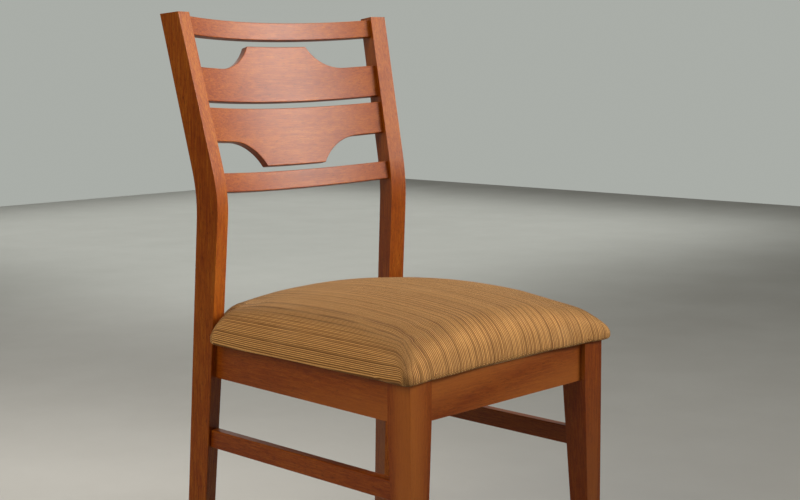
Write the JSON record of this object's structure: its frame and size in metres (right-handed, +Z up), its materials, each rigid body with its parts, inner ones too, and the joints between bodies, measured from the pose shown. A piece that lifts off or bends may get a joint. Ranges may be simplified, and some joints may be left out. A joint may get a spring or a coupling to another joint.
{
  "type": "dining chair",
  "caption": "Wooden side chair with turned raked back posts, bowed rails and shaped slats, and a padded fabric seat screwed down from below.",
  "frame": {"origin": "on the floor, under the middle of the chair's box", "axes": "+Z up; -Y is the way the chair faces, with the back at +Y; +X to the right when looking along +Y"},
  "size_m": [0.479, 0.5448, 0.915],
  "materials": {
    "frame_wood": "satin lacquer over a reddish-brown stain, fine grain along each member",
    "plywood": "raw plywood",
    "block_wood": "raw softwood",
    "foam": "open-cell foam",
    "upholstery": "tan woven stripe, fine light and dark lines running from front to back",
    "lining_cloth": "thin black non-woven cloth",
    "steel": "zinc-plated fasteners",
    "glide_plastic": "moulded nylon"
  },
  "bodies": {
    "root": {"rear_post_left": "frame_wood", "rear_post_right": "frame_wood", "front_leg_left": "frame_wood", "front_leg_right": "frame_wood", "front_seat_rail": "frame_wood", "rear_seat_rail": "frame_wood", "side_seat_rail_left": "frame_wood", "side_seat_rail_right": "frame_wood", "side_stretcher_left": "frame_wood", "side_stretcher_right": "frame_wood", "crest_rail": "frame_wood", "upper_back_slat": "frame_wood", "lower_back_slat": "frame_wood", "lower_back_rail": "frame_wood", "seat_board": "plywood", "seat_foam": "foam", "seat_cover": "upholstery", "dust_cover": "lining_cloth", "corner_blocks": "block_wood", "block_screws": "steel", "seat_bolts": "steel", "seat_washers": "steel", "tee_nuts": "steel", "foot_glides": "glide_plastic"}
  },
  "joints": []
}
